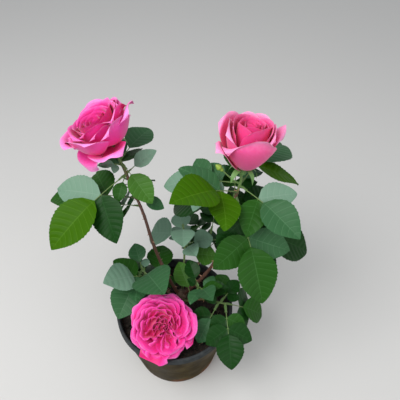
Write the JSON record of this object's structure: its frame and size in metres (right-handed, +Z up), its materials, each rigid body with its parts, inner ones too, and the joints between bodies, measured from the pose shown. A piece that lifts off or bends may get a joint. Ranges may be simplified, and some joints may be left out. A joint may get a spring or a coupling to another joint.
{
  "type": "potted rose bush",
  "caption": "Young rose bush in a round plant pot: thorny canes with compound leaves and large double pink blooms.",
  "frame": {"origin": "middle of the pot's flat underside, on the ground", "axes": "+Z up, +X to the right and +Y away as the picture sees it"},
  "size_m": [0.4122, 0.2992, 0.4765],
  "materials": {
    "pot_plastic": "satin, algae stained",
    "soil": "matte, moist",
    "bark": "matte",
    "cane_red": "satin",
    "cane_green": "satin",
    "leaf": "satin",
    "leaf_pale": "matte",
    "petal_hot": "satin",
    "petal_light": "satin"
  },
  "bodies": {
    "root": {"pot": "pot_plastic", "soil": "soil", "trunk": "bark", "cane_left": "cane_red", "shoot_left": "leaf", "cane_right": "cane_red", "shoot_right": "leaf", "cane_middle": "cane_green", "shoot_middle": "leaf_pale", "cane_low_left": "cane_green", "shoot_low_left": "leaf", "cane_low_right": "cane_green", "shoot_low_right": "leaf", "cane_centre": "cane_green", "shoot_centre": "leaf", "cane_back": "cane_green", "shoot_back": "leaf", "cane_low": "cane_red", "shoot_low": "leaf", "bloom_left": "petal_hot", "bloom_right": "petal_light", "bloom_low": "petal_hot"}
  },
  "joints": []
}
